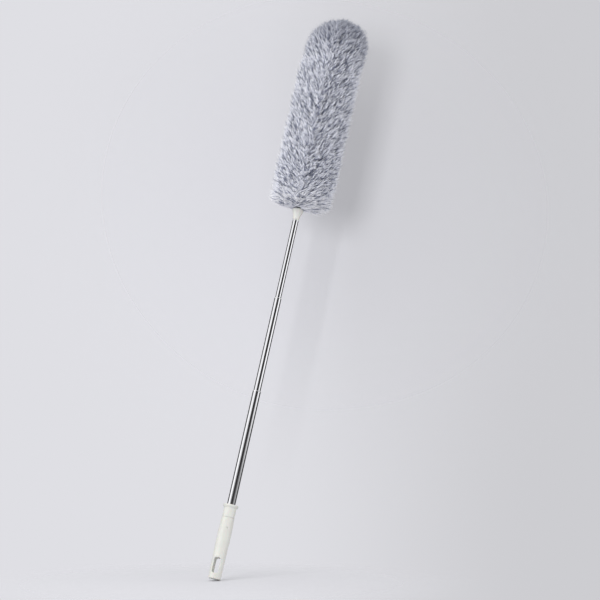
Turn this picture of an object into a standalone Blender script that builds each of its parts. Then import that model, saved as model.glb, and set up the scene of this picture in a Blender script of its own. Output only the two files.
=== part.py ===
"""A telescopic duster for ceiling fans: a moulded handle, three nested steel tubes and a bendable fluffy head.

Metres, +Z up. The duster stands upright on the flat butt of its handle. The origin is the centre of
that flat face, and every round piece is centred on the Z axis. The hang slot runs through the handle
along Y. Run it with blender --background --python part.py, or from Blender's text editor.
"""

import math

import bmesh
import bpy
import numpy as np
from mathutils import Matrix, Vector

# Fits that all pieces share.
SEAT_GAP = 0.0003  # between a piece and what it is pressed, screwed or sewn to
RUNNING_GAP = 0.00015  # around a friction ring in its tube
CUT_OVERRUN = 0.002  # how far a cutter runs past the face that it opens
MERGE_DISTANCE = 0.000002  # points closer than this are the same point
ROUND_STEPS = 32  # facets around the tubes and everything inside them
HANDLE_STEPS = 40  # facets around the handle and the stem
ARC_STEPS = 2  # facets in each rounded edge

# The moulded handle.
GRIP_LENGTH = 0.1152
BUTT_RADIUS = 0.0119
BUTT_ROUNDING = 0.0011
LOW_GRIP_RADIUS = 0.0124
LOW_GRIP_SHARE = 0.382  # of the grip's length, where it starts to swell
WIDE_GRIP_RADIUS = 0.0131
WIDE_GRIP_SHARE = 0.738  # of the grip's length, where it is thickest
GRIP_MOUTH_RADIUS = 0.0121
GRIP_EDGE_ROUNDING = 0.0006
GRIP_SPAN_STEPS = 4  # profile points between two of the grip's named heights
SLOT_WIDTH = 0.0120
SLOT_BOTTOM = 0.0105
SLOT_LENGTH = 0.0285
SLOT_CORNER = 0.0036
SLOT_CORNER_STEPS = 5
SLOT_EDGE_ROUNDING = 0.0010
SLOT_EDGE_STEPS = 3
SLOT_EDGE_SWEEP = math.radians(70)  # of a quarter turn, so that the rounding still crosses the grip's facets
SLOT_ROOF = 0.0042  # plastic between the slot and the floor of the tube's bore

# The flared ferrule on the handle's mouth.
FERRULE_HEIGHT = 0.0235
FERRULE_RADIUS = 0.0116
FERRULE_LIP_RADIUS = 0.0148
FERRULE_LIP_THICKNESS = 0.0020
FERRULE_FLARE_HEIGHT = 0.0052
FERRULE_FLARE_STEPS = 5
FERRULE_SPIGOT_RADIUS = 0.0100
FERRULE_SPIGOT_LENGTH = 0.0090
FERRULE_ROUNDING = 0.0007

# The rivet that locks the lower tube in the handle.
RIVET_RADIUS = 0.0012
RIVET_DROP = 0.0197  # below the grip's mouth
RIVET_ANGLE = math.radians(24.5)  # round from the slot's front mouth, towards +X
RIVET_RECESS = 0.0002
RIVET_FACETS = 12

# The three steel tubes, from the handle up.
TUBE_WALL = 0.00045
LOWER_TUBE_RADIUS = 0.0080
MIDDLE_TUBE_RADIUS = 0.00705
UPPER_TUBE_RADIUS = 0.0061
LOWER_TUBE_SHOWN = 0.2260  # above the ferrule
MIDDLE_TUBE_SHOWN = 0.1960  # above the lower tube's mouth, as photographed
UPPER_TUBE_SHOWN = 0.1720  # above the middle tube's mouth, as photographed
MIDDLE_TUBE_LENGTH = 0.2880
UPPER_TUBE_LENGTH = 0.2500
MOUTH_ROLL = 0.0024  # height of the rolled-in mouth that traps the bush below
MOUTH_CLEARANCE = 0.00018  # around the tube that runs through the mouth
MOUTH_CROWN = 0.0004  # how far the rolled edge rounds off at its top

# The plug in the lower tube's foot.
PLUG_FLANGE = 0.0015
PLUG_DEPTH = 0.0070
PLUG_WALL = 0.0013

# The bush and friction ring in the foot of each inner tube.
BUSH_SHANK = 0.0140
BUSH_BORE = 0.0030
BUSH_SHOULDER = 0.0020
BUSH_BASE = 0.0022
RING_LENGTH = 0.0150
RING_WALL = 0.0011
RING_SPLIT = 0.0016

# The threaded socket in the upper tube's top, and the stem that screws into it.
SOCKET_FLANGE = 0.0016
SOCKET_DEPTH = 0.0180
SOCKET_FLOOR = 0.0022
STUB_RADIUS = 0.0032
STUB_LENGTH = 0.0140
STUB_CHAMFER = 0.0006
STUB_CLEAR_LIFT = 0.0020  # from the socket's face to the unscrewed stub
STEM_HEIGHT = 0.0220
STEM_TOP_RADIUS = 0.0117
STEM_ROUNDING = 0.0010
STEM_SWELL_SHARE = 0.42  # of the stem's flare that is reached at half its height
STEM_SPAN_STEPS = 5

# The bendable steel strip in the head, and the pin that locks it in the stem.
STRIP_WIDTH = 0.0080
STRIP_THICKNESS = 0.0016
STRIP_ROOT_DEPTH = 0.0170
STEM_PIN_RADIUS = 0.0010
STEM_PIN_DROP = 0.0100  # below the stem's top
STEM_PIN_PASS = 0.0016  # how far it passes through the strip
HINGE_RISE = 0.0060  # from the stem's top to the strip's bend
NOSE_STEPS = 6

# The head's soft layers.
HEAD_LENGTH = 0.4480  # from the stem's top to the tips at the crown
FOAM_RADIUS = 0.0117
KNIT_WALL = 0.0015
NECK_WALL = 0.0010
NECK_LENGTH = 0.0045
NECK_RISE = 0.0010  # above the bend
GATHER_HEIGHT = 0.0105  # of the cone that widens the knit from its neck
PILE_TOP_LENGTH = 0.0560  # from the knit's crown to the tips above it
TIP_CAP_RADIUS = 0.0068
TIP_CAP_HEIGHT = 0.0160
TIP_CAP_WALL = 0.0014
TIP_CAP_ROUNDING = 0.0040
HEM_THICKNESS = 0.0014
HEM_FACETS = 8
KNIT_STEPS = 20  # facets around the knit and everything inside it
KNIT_CROWN_STEPS = 4

# The tufts of pile, each a three-sided leaf that is slim at its root and pointed at its tip.
TUFT_COUNT = 430
TUFT_SIDES = 3
PILE_LOW_RADIUS = 0.0635
PILE_HIGH_RADIUS = 0.0665
PILE_LOW_CORNER = 0.0200
PILE_START_RADIUS = 0.0400  # of the lowest ring of tips, whose tufts clear the stem when the head bends
PILE_BELOW_BEND = 0.0065  # how far the lowest tips hang under the strip's bend
ROOT_START_SHARE = 0.5  # of the gathered cone's height, left without tufts for the same reason
TUFT_ROOT_RADIUS = 0.0013
TUFT_BELLY_RADIUS = 0.0058
TUFT_SUNK = 0.0006  # how deep a root sits in the knit
BELLY_SHARE = 0.66  # of a tuft's length, where it is widest
LEAN_SHARE = 1.18  # above 1 the tufts lean further up the head
GOLDEN_ANGLE = math.pi * (3.0 - math.sqrt(5.0))
PILE_CORNER_STEPS = 4
PILE_CROWN_STEPS = 12
CURVE_SAMPLES = 240  # points on each curve that the tufts are spread along

# Heights up the axis that follow from the sizes above.
low_grip_height = GRIP_LENGTH * LOW_GRIP_SHARE
wide_grip_height = GRIP_LENGTH * WIDE_GRIP_SHARE
rivet_height = GRIP_LENGTH - RIVET_DROP
bore_floor = SLOT_BOTTOM + SLOT_LENGTH + SLOT_ROOF
ferrule_bottom = GRIP_LENGTH + SEAT_GAP
handle_top = ferrule_bottom + FERRULE_HEIGHT
plug_bottom = bore_floor + SEAT_GAP
lower_foot = plug_bottom + PLUG_FLANGE + SEAT_GAP
lower_mouth = handle_top + LOWER_TUBE_SHOWN
middle_mouth = lower_mouth + MIDDLE_TUBE_SHOWN
middle_foot = middle_mouth - MIDDLE_TUBE_LENGTH
upper_mouth = middle_mouth + UPPER_TUBE_SHOWN
upper_foot = upper_mouth - UPPER_TUBE_LENGTH
socket_top = upper_mouth + SEAT_GAP + SOCKET_FLANGE
stem_bottom = socket_top + SEAT_GAP
stem_top = stem_bottom + STEM_HEIGHT
bend_height = stem_top + HINGE_RISE
head_top = stem_top + HEAD_LENGTH
knit_top = head_top - PILE_TOP_LENGTH

# The grip's outline as (radius, height) places, with a smooth swell between each two.
grip_stations = [
    (BUTT_RADIUS, BUTT_ROUNDING),
    (LOW_GRIP_RADIUS, low_grip_height),
    (WIDE_GRIP_RADIUS, wide_grip_height),
    (GRIP_MOUTH_RADIUS, GRIP_LENGTH - GRIP_EDGE_ROUNDING),
]

# Radii that follow from the sizes above.
handle_bore = LOWER_TUBE_RADIUS + SEAT_GAP
lower_bore = LOWER_TUBE_RADIUS - TUBE_WALL
middle_bore = MIDDLE_TUBE_RADIUS - TUBE_WALL
upper_bore = UPPER_TUBE_RADIUS - TUBE_WALL
knit_radius = FOAM_RADIUS + SEAT_GAP + KNIT_WALL
strip_corner = math.hypot(STRIP_WIDTH, STRIP_THICKNESS) / 2
neck_bore = strip_corner + SEAT_GAP
neck_radius = neck_bore + NECK_WALL

# How far each inner tube and the head's stem can travel from where the photograph shows them.
middle_travel_up = lower_mouth - MOUTH_ROLL - middle_foot
middle_travel_down = MIDDLE_TUBE_SHOWN - MOUTH_ROLL
upper_travel_up = middle_mouth - MOUTH_ROLL - upper_foot
upper_travel_down = UPPER_TUBE_SHOWN - MOUTH_ROLL
stem_travel = STUB_LENGTH + STUB_CLEAR_LIFT


def clear_scene():
    for thing in list(bpy.data.objects):
        bpy.data.objects.remove(thing, do_unlink=True)


def new_collection(name):
    group = bpy.data.collections.new(name)
    bpy.context.scene.collection.children.link(group)
    return group


def new_material(name, color, roughness, metallic=0.0):
    material = bpy.data.materials.new(name)
    material.use_nodes = True
    shader = material.node_tree.nodes["Principled BSDF"]
    shader.inputs["Base Color"].default_value = (*color, 1.0)
    shader.inputs["Roughness"].default_value = roughness
    shader.inputs["Metallic"].default_value = metallic
    material.diffuse_color = (*color, 1.0)
    return material


def new_frame(name, height, parent=None):
    """An empty on the axis that a moving group of pieces hangs on, at its joint."""
    empty = bpy.data.objects.new(name, None)
    parts.objects.link(empty)
    below = parent["height"] if parent else 0.0
    empty.location = (0.0, 0.0, height - below)
    empty.parent = parent
    empty["height"] = height
    return empty


def add_object(name, mesh, frame, group, material=None):
    """Link a mesh, whose heights are in the whole part's frame, under one of the empties."""
    mesh.transform(Matrix.Translation((0.0, 0.0, -frame["height"])))
    obj = bpy.data.objects.new(name, mesh)
    obj.parent = frame
    group.objects.link(obj)
    if material:
        mesh.materials.append(material)
    return obj


def mesh_from(name, bm):
    mesh = bpy.data.meshes.new(name)
    bm.to_mesh(mesh)
    bm.free()
    return mesh


def rounded(corners, steps=ARC_STEPS):
    """A profile whose corners, given as (radius, height, rounding), become short arcs."""
    points = []
    for index, (x, z, rounding) in enumerate(corners):
        here = Vector((x, z))
        if not rounding:
            points.append(here)
            continue
        before = Vector(corners[index - 1][:2]) - here
        after = Vector(corners[(index + 1) % len(corners)][:2]) - here
        half = before.angle(after) / 2
        reach = rounding / math.tan(half)
        start = here + before.normalized() * reach
        end = here + after.normalized() * reach
        middle = (before.normalized() + after.normalized()).normalized()
        centre = here + middle * (rounding / math.sin(half))
        for step in range(steps + 1):
            spoke = (start - centre).slerp(end - centre, step / steps)
            points.append(centre + spoke * rounding)
    return [(point.x, point.y) for point in points]


def swept(stations, steps):
    """Points on smooth swells between (radius, height) stations, the first station left out."""
    points = []
    for (r0, z0), (r1, z1) in zip(stations, stations[1:]):
        for step in range(1, steps + 1):
            along = step / steps
            ease = (1 - math.cos(math.pi * along)) / 2
            points.append((r0 + (r1 - r0) * ease, z0 + (z1 - z0) * along))
    return points


def turned(name, profile, frame, material, steps=ROUND_STEPS, closed=True):
    """Turn a profile about the Z axis. It runs from the top down its outer side and back up inside."""
    bm = bmesh.new()
    verts = [bm.verts.new((x, 0.0, z)) for x, z in profile]
    pairs = list(zip(verts, verts[1:]))
    if closed:
        pairs.append((verts[-1], verts[0]))
    for pair in pairs:
        bm.edges.new(pair)
    obj = add_object(name, mesh_from(name, bm), frame, parts, material)
    screw = obj.modifiers.new("turn", "SCREW")
    screw.axis = "Z"
    screw.angle = math.tau
    screw.steps = screw.render_steps = steps
    screw.use_merge_vertices = True
    screw.merge_threshold = MERGE_DISTANCE
    screw.use_smooth_shade = True
    return obj


def hide_cutter(cutter):
    cutter.hide_render = True
    cutter.display_type = "WIRE"


def cut(obj, cutter, operation="DIFFERENCE"):
    hide_cutter(cutter)
    boolean = obj.modifiers.new(cutter.name, "BOOLEAN")
    boolean.operation = operation
    boolean.solver = "EXACT"
    boolean.object = cutter


def rod(name, radius, start, end, facets, frame, group, material=None):
    """A straight round rod between two points."""
    start, end = Vector(start), Vector(end)
    run = end - start
    bm = bmesh.new()
    place = Matrix.Translation((start + end) / 2) @ run.to_track_quat("Z", "Y").to_matrix().to_4x4()
    bmesh.ops.create_cone(
        bm, cap_ends=True, segments=facets, radius1=radius, radius2=radius, depth=run.length, matrix=place
    )
    return add_object(name, mesh_from(name, bm), frame, group, material)


def block(name, low, high, frame, group, material=None):
    """A box between two corners."""
    low, high = Vector(low), Vector(high)
    bm = bmesh.new()
    size = Matrix.Diagonal((*(high - low), 1.0))
    bmesh.ops.create_cube(bm, size=1.0, matrix=Matrix.Translation((low + high) / 2) @ size)
    return add_object(name, mesh_from(name, bm), frame, group, material)


def slot_outline(spread):
    """The hang slot's outline, a rectangle with round corners, moved outward by a spread."""
    side = SLOT_WIDTH / 2 + spread
    bottom = SLOT_BOTTOM - spread
    top = SLOT_BOTTOM + SLOT_LENGTH + spread
    corner = SLOT_CORNER + spread
    corners = [(-side, bottom, corner), (side, bottom, corner), (side, top, corner), (-side, top, corner)]
    return rounded(corners, SLOT_CORNER_STEPS)


def slot_cutter(frame):
    """The slot as a loft along Y. Near the grip's surface it flares, which rounds the edges of its mouths.

    Each flared ring follows the grip: its points lie at a depth below the surface at their own place.
    """
    depths = []
    for step in range(SLOT_EDGE_STEPS + 1):
        angle = SLOT_EDGE_SWEEP * step / SLOT_EDGE_STEPS
        spread = SLOT_EDGE_ROUNDING * (1 - math.cos(angle))
        depths.append((spread, SLOT_EDGE_ROUNDING * (1 - math.sin(angle))))
    spread, depth = depths[-1]
    run_out = spread + CUT_OVERRUN * math.sin(SLOT_EDGE_SWEEP)
    depths.append((run_out, depth - CUT_OVERRUN * math.cos(SLOT_EDGE_SWEEP)))

    outside = WIDE_GRIP_RADIUS + CUT_OVERRUN
    rings = [[(x, -outside, z) for x, z in slot_outline(run_out)]]
    for spread, depth in depths[::-1]:
        rings.append([(x, depth - surface_reach(x, z), z) for x, z in slot_outline(spread)])
    rings += [[(x, -y, z) for x, y, z in ring] for ring in rings[::-1]]
    bm = bmesh.new()
    loops = [[bm.verts.new(point) for point in ring] for ring in rings]
    for front, back in zip(loops, loops[1:]):
        for index in range(len(front)):
            bm.faces.new((front[index - 1], front[index], back[index], back[index - 1]))
    bm.faces.new(loops[0])
    bm.faces.new(loops[-1])
    bmesh.ops.triangulate(bm, faces=bm.faces)
    bmesh.ops.recalc_face_normals(bm, faces=bm.faces)
    return add_object("slot_cutter", mesh_from("slot_cutter", bm), frame, cutters)


def surface_reach(x, z):
    """How far the grip's surface lies from the XZ plane at a place on the slot's outline."""
    return math.sqrt(grip_radius_at(z)**2 - x**2)


def make_grip(frame):
    """The grip: a flat butt, a swell for the palm, a bore for the lower tube and the hang slot."""
    outer = swept(grip_stations, GRIP_SPAN_STEPS)
    butt = rounded([(0.0, 0.0, 0.0), (BUTT_RADIUS, 0.0, BUTT_ROUNDING), (BUTT_RADIUS, low_grip_height, 0.0)])
    recess_radius = FERRULE_SPIGOT_RADIUS + SEAT_GAP
    recess_floor = GRIP_LENGTH - FERRULE_SPIGOT_LENGTH - SEAT_GAP
    profile = [(GRIP_MOUTH_RADIUS - GRIP_EDGE_ROUNDING, GRIP_LENGTH)]
    profile += outer[::-1] + butt[-2:0:-1] + [(0.0, 0.0), (0.0, bore_floor)]
    profile += [(handle_bore, bore_floor), (handle_bore, recess_floor), (recess_radius, recess_floor)]
    profile += [(recess_radius, GRIP_LENGTH)]
    grip = turned("handle_grip", profile, frame, cream_plastic, HANDLE_STEPS)
    cut(grip, slot_cutter(frame))
    return grip


def make_ferrule(frame):
    """The flared collar, whose spigot sits in the grip's mouth."""
    lip_bottom = handle_top - FERRULE_LIP_THICKNESS
    flare_bottom = lip_bottom - FERRULE_FLARE_HEIGHT
    spigot_end = GRIP_LENGTH - FERRULE_SPIGOT_LENGTH
    lip = rounded(
        [(handle_bore, handle_top, 0.0), (FERRULE_LIP_RADIUS, handle_top, FERRULE_ROUNDING),
         (FERRULE_LIP_RADIUS, lip_bottom, 0.0)]
    )
    flare = swept([(FERRULE_RADIUS, flare_bottom), (FERRULE_LIP_RADIUS, lip_bottom)], FERRULE_FLARE_STEPS)
    profile = lip[1:-1] + flare[::-1] + [(FERRULE_RADIUS, flare_bottom), (FERRULE_RADIUS, ferrule_bottom)]
    profile += [(FERRULE_SPIGOT_RADIUS, ferrule_bottom), (FERRULE_SPIGOT_RADIUS, spigot_end)]
    profile += [(handle_bore, spigot_end), (handle_bore, handle_top)]
    turned("handle_ferrule", profile, frame, cream_plastic, HANDLE_STEPS)


def make_rivet(grip, lower_tube, frame):
    """The rivet through the grip's wall that locks the lower tube."""
    outward = Vector((math.sin(RIVET_ANGLE), -math.cos(RIVET_ANGLE), 0.0))
    place = Vector((0.0, 0.0, rivet_height))
    head = place + outward * (grip_radius_at(rivet_height) - RIVET_RECESS)
    foot = place + outward * (lower_bore + RUNNING_GAP)
    rod("handle_rivet", RIVET_RADIUS, foot, head, RIVET_FACETS, frame, parts, rivet_steel)
    hole_end = place + outward * (WIDE_GRIP_RADIUS + CUT_OVERRUN)
    hole = rod("rivet_hole", RIVET_RADIUS + SEAT_GAP, place, hole_end, RIVET_FACETS, frame, cutters)
    cut(grip, hole)
    cut(lower_tube, hole)


def grip_radius_at(height):
    """The grip's radius at a height, read from the straight runs of its profile."""
    radii, heights = zip(*([grip_stations[0]] + swept(grip_stations, GRIP_SPAN_STEPS)))
    return float(np.interp(height, heights, radii))


def make_tube(name, radius, foot, mouth, inner_radius, frame):
    """A thin tube. Where another runs in it, its mouth is rolled in to trap that one's bush."""
    bore = radius - TUBE_WALL
    profile = [(radius, foot), (bore, foot)]
    if inner_radius:
        throat = inner_radius + MOUTH_CLEARANCE
        roll_bottom = mouth - MOUTH_ROLL
        profile = [(radius - MOUTH_CROWN, mouth), (radius, mouth - MOUTH_CROWN)] + profile
        profile += [(bore, roll_bottom), (throat, roll_bottom + MOUTH_CROWN), (throat, mouth)]
    else:
        profile = [(radius, mouth)] + profile + [(bore, mouth)]
    return turned(name, profile, frame, stainless)


def make_plug(frame):
    """A cup pushed up the lower tube's foot, whose flange lies under the tube."""
    shank = lower_bore - SEAT_GAP
    inside = shank - PLUG_WALL
    top = lower_foot + PLUG_DEPTH
    floor = plug_bottom + PLUG_FLANGE
    profile = [(shank, top), (shank, floor), (LOWER_TUBE_RADIUS, floor), (LOWER_TUBE_RADIUS, plug_bottom)]
    profile += [(0.0, plug_bottom), (0.0, floor), (inside, floor), (inside, top)]
    turned("lower_tube_plug", profile, frame, grey_nylon)


def make_bush(name, bore, outer_bore, foot, frame):
    """A bush pushed up a tube's foot. Its shoulder and base hold the friction ring between them."""
    shank = bore - SEAT_GAP
    flange = outer_bore - RUNNING_GAP
    groove = flange - RING_WALL - SEAT_GAP
    top = foot + BUSH_SHANK
    shoulder_top = foot - SEAT_GAP
    groove_top = shoulder_top - BUSH_SHOULDER
    groove_bottom = groove_top - RING_LENGTH - 2 * SEAT_GAP
    base = groove_bottom - BUSH_BASE
    profile = [(shank, top), (shank, shoulder_top), (flange, shoulder_top), (flange, groove_top)]
    profile += [(groove, groove_top), (groove, groove_bottom), (flange, groove_bottom), (flange, base)]
    profile += [(BUSH_BORE, base), (BUSH_BORE, top)]
    turned(name, profile, frame, grey_nylon)


def make_ring(name, outer_bore, foot, frame):
    """A split ring that grips the tube around it, so that the pole stays where it is pulled to."""
    outer = outer_bore - RUNNING_GAP
    inner = outer - RING_WALL
    top = foot - 2 * SEAT_GAP - BUSH_SHOULDER
    bottom = top - RING_LENGTH
    profile = [(outer, top), (outer, bottom), (inner, bottom), (inner, top)]
    ring = turned(name, profile, frame, white_acetal)
    low = (0.0, -RING_SPLIT / 2, bottom - CUT_OVERRUN)
    high = (outer + CUT_OVERRUN, RING_SPLIT / 2, top + CUT_OVERRUN)
    cut(ring, block(name + "_split", low, high, frame, cutters))


def make_socket(frame):
    """The threaded insert in the upper tube's top. Its thread is left plain here."""
    shank = upper_bore - SEAT_GAP
    hole = STUB_RADIUS + SEAT_GAP
    flange_bottom = upper_mouth + SEAT_GAP
    bottom = socket_top - SOCKET_DEPTH
    floor = bottom + SOCKET_FLOOR
    profile = [(UPPER_TUBE_RADIUS, socket_top), (UPPER_TUBE_RADIUS, flange_bottom), (shank, flange_bottom)]
    profile += [(shank, bottom), (0.0, bottom), (0.0, floor), (hole, floor), (hole, socket_top)]
    turned("thread_socket", profile, frame, cream_plastic)


def make_stem(frame):
    """The funnel that carries the head, with its screw stub, the strip's root and the pin through both."""
    half_way = UPPER_TUBE_RADIUS + (STEM_TOP_RADIUS - UPPER_TUBE_RADIUS) * STEM_SWELL_SHARE
    flank = []
    for step in range(STEM_SPAN_STEPS + 1):
        along = step / STEM_SPAN_STEPS
        bend = 4 * along * (1 - along)
        straight = UPPER_TUBE_RADIUS + (STEM_TOP_RADIUS - UPPER_TUBE_RADIUS) * along
        sag = (UPPER_TUBE_RADIUS + STEM_TOP_RADIUS) / 2 - half_way
        flank.append((straight - sag * bend, stem_bottom + (STEM_HEIGHT - STEM_ROUNDING) * along))
    rim = rounded([flank[-1] + (0.0,), (STEM_TOP_RADIUS, stem_top, STEM_ROUNDING), (0.0, stem_top, 0.0)])[1:-1]
    stub_end = stem_bottom - STUB_LENGTH
    profile = [(0.0, stem_top)] + rim[::-1] + flank[::-1]
    profile += [(STUB_RADIUS, stem_bottom), (STUB_RADIUS, stub_end + STUB_CHAMFER)]
    profile += [(STUB_RADIUS - STUB_CHAMFER, stub_end), (0.0, stub_end)]
    stem = turned("head_stem", profile, frame, cream_plastic, HANDLE_STEPS, closed=False)

    half_width = STRIP_WIDTH / 2
    half_thick = STRIP_THICKNESS / 2
    root_bottom = stem_top - STRIP_ROOT_DEPTH
    root_top = bend_height - half_thick - SEAT_GAP
    low = (-half_width - SEAT_GAP, -half_thick - SEAT_GAP, root_bottom - SEAT_GAP)
    high = (half_width + SEAT_GAP, half_thick + SEAT_GAP, stem_top + CUT_OVERRUN)
    cut(stem, block("strip_pocket", low, high, frame, cutters))
    low = (-half_width, -half_thick, root_bottom)
    root = block("strip_root", low, (half_width, half_thick, root_top), frame, parts, spring_steel)

    pin_height = stem_top - STEM_PIN_DROP
    share = (pin_height - stem_bottom) / STEM_HEIGHT
    outside = UPPER_TUBE_RADIUS + (STEM_TOP_RADIUS - UPPER_TUBE_RADIUS) * share * share
    inner = (0.0, -half_thick - STEM_PIN_PASS, pin_height)
    rod("stem_pin", STEM_PIN_RADIUS, inner, (0.0, outside, pin_height), RIVET_FACETS, frame, parts, rivet_steel)
    start = (0.0, inner[1] - SEAT_GAP, pin_height)
    end = (0.0, STEM_TOP_RADIUS + CUT_OVERRUN, pin_height)
    hole = rod("stem_pin_hole", STEM_PIN_RADIUS + SEAT_GAP, start, end, RIVET_FACETS, frame, cutters)
    cut(stem, hole)
    cut(root, hole)


def make_core(frame):
    """The strip above the bend, its tip cap and the foam sleeve round it."""
    half_width = STRIP_WIDTH / 2
    half_thick = STRIP_THICKNESS / 2
    crown_radius = knit_radius - KNIT_WALL
    cap_top = knit_top - knit_radius + math.sqrt(crown_radius**2 - TIP_CAP_RADIUS**2) - SEAT_GAP
    strip_top = cap_top - TIP_CAP_WALL - SEAT_GAP
    cap_bottom = cap_top - TIP_CAP_HEIGHT
    nose = [
        (-half_thick * math.cos(math.pi * step / NOSE_STEPS), -half_thick * math.sin(math.pi * step / NOSE_STEPS))
        for step in range(NOSE_STEPS + 1)
    ]
    outline = [(y, bend_height + z) for y, z in nose] + [(half_thick, strip_top), (-half_thick, strip_top)]
    bm = bmesh.new()
    face = bm.faces.new([bm.verts.new((-half_width, y, z)) for y, z in outline])
    side = bmesh.ops.extrude_face_region(bm, geom=[face])
    moved = [item for item in side["geom"] if isinstance(item, bmesh.types.BMVert)]
    bmesh.ops.translate(bm, verts=moved, vec=(STRIP_WIDTH, 0.0, 0.0))
    bmesh.ops.recalc_face_normals(bm, faces=bm.faces)
    add_object("core_strip", mesh_from("core_strip", bm), frame, parts, spring_steel)

    profile = rounded(
        [(0.0, cap_top, 0.0), (TIP_CAP_RADIUS, cap_top, TIP_CAP_ROUNDING), (TIP_CAP_RADIUS, cap_bottom, 0.0),
         (neck_bore, cap_bottom, 0.0), (neck_bore, strip_top + SEAT_GAP, 0.0), (0.0, strip_top + SEAT_GAP, 0.0)]
    )
    turned("strip_tip_cap", profile, frame, cream_plastic, KNIT_STEPS, closed=False)

    foam_bottom = gather_top() + SEAT_GAP
    foam_top = cap_bottom - SEAT_GAP
    profile = [(FOAM_RADIUS, foam_top), (FOAM_RADIUS, foam_bottom), (neck_bore, foam_bottom), (neck_bore, foam_top)]
    turned("foam_sleeve", profile, frame, grey_foam, KNIT_STEPS)


def gather_top():
    """Where the knit reaches its full width above its neck."""
    return bend_height + NECK_RISE + NECK_LENGTH + GATHER_HEIGHT


def knit_line(radius, neck, top):
    """One face of the knit sleeve in half section, from its neck up to its round crown."""
    neck_bottom = bend_height + NECK_RISE
    shoulder = top - radius
    crown = [
        (radius * math.cos(angle), shoulder + radius * math.sin(angle))
        for angle in (math.pi / 2 * step / KNIT_CROWN_STEPS for step in range(KNIT_CROWN_STEPS))
    ]
    return [(neck, neck_bottom), (neck, neck_bottom + NECK_LENGTH), (radius, gather_top())] + crown + [(0.0, top)]


def even_points(line, fractions):
    """Points at the given fractions of the area that a half section sweeps when it is turned."""
    samples = np.array(line)
    runs = np.hypot(*np.diff(samples, axis=0).T)
    along = np.concatenate([[0.0], np.cumsum(runs)])
    places = np.linspace(0.0, along[-1], CURVE_SAMPLES)
    radii = np.interp(places, along, samples[:, 0])
    heights = np.interp(places, along, samples[:, 1])
    area = np.concatenate([[0.0], np.cumsum((radii[1:] + radii[:-1]) * np.diff(places))])
    area /= area[-1]
    return np.interp(fractions, area, radii), np.interp(fractions, area, heights)


def fluff_line():
    """The fluffy head's outline in half section, from its flat underside up to its round crown."""
    bottom = bend_height - PILE_BELOW_BEND
    corner = [
        (PILE_LOW_RADIUS - PILE_LOW_CORNER * (1 - math.sin(angle)), bottom + PILE_LOW_CORNER * (1 - math.cos(angle)))
        for angle in (math.pi / 2 * step / PILE_CORNER_STEPS for step in range(PILE_CORNER_STEPS + 1))
    ]
    shoulder = head_top - PILE_HIGH_RADIUS
    crown = [
        (PILE_HIGH_RADIUS * math.cos(angle), shoulder + PILE_HIGH_RADIUS * math.sin(angle))
        for angle in (math.pi / 2 * step / PILE_CROWN_STEPS for step in range(PILE_CROWN_STEPS + 1))
    ]
    return [(PILE_START_RADIUS, bottom)] + corner + crown


def tuft_cloud(frame):
    """All tufts in one mesh: roots spread evenly over the knit, tips evenly over the fluffy outline."""
    order = (np.arange(TUFT_COUNT) + 0.5) / TUFT_COUNT
    tip_radii, tip_heights = even_points(fluff_line(), order)
    neck, cone_top, *rest = knit_line(knit_radius - TUFT_SUNK, neck_radius, knit_top - TUFT_SUNK)[1:]
    first_root = Vector(neck).lerp(Vector(cone_top), ROOT_START_SHARE)
    root_radii, root_heights = even_points([first_root, cone_top, *rest], order**LEAN_SHARE)
    bm = bmesh.new()
    for index in range(TUFT_COUNT):
        turn = Matrix.Rotation(index * GOLDEN_ANGLE, 3, "Z")
        root = turn @ Vector((root_radii[index], 0.0, root_heights[index]))
        tip = turn @ Vector((tip_radii[index], 0.0, tip_heights[index]))
        add_tuft(bm, root, tip)
    return add_object("tufts", mesh_from("tufts", bm), frame, cutters)


def add_tuft(bm, root, tip):
    """A cone that widens from the root to the belly, closed by a point at the tip."""
    belly = root.lerp(tip, BELLY_SHARE)
    run = belly - root
    place = Matrix.Translation((root + belly) / 2) @ run.to_track_quat("Z", "Y").to_matrix().to_4x4()
    made = bmesh.ops.create_cone(
        bm, cap_ends=True, segments=TUFT_SIDES, radius1=TUFT_ROOT_RADIUS, radius2=TUFT_BELLY_RADIUS,
        depth=run.length, matrix=place,
    )
    faces = {face for vert in made["verts"] for face in vert.link_faces}
    lid = max(faces, key=lambda face: (face.calc_center_median() - root).dot(run))
    point = bmesh.ops.poke(bm, faces=[lid])["verts"][0]
    point.co = tip


def make_pile(frame):
    """The knit sleeve with its tufts, and the hem that draws its neck in."""
    outer = knit_line(knit_radius, neck_radius, knit_top)
    inner = knit_line(knit_radius - KNIT_WALL, neck_bore, knit_top - KNIT_WALL)
    pile = turned("pile", outer[::-1] + inner, frame, microfibre, KNIT_STEPS, closed=False)
    cut(pile, tuft_cloud(frame), "UNION")

    hem_ring = neck_radius + SEAT_GAP + HEM_THICKNESS / 2
    middle = bend_height + NECK_RISE + NECK_LENGTH / 2
    section = [
        (hem_ring + HEM_THICKNESS / 2 * math.cos(angle), middle - HEM_THICKNESS / 2 * math.sin(angle))
        for angle in (math.tau * step / HEM_FACETS for step in range(HEM_FACETS))
    ]
    turned("hem_elastic", section, frame, white_elastic, KNIT_STEPS)


clear_scene()
parts = new_collection("ceiling_fan_duster")
cutters = new_collection("cutters")

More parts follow.
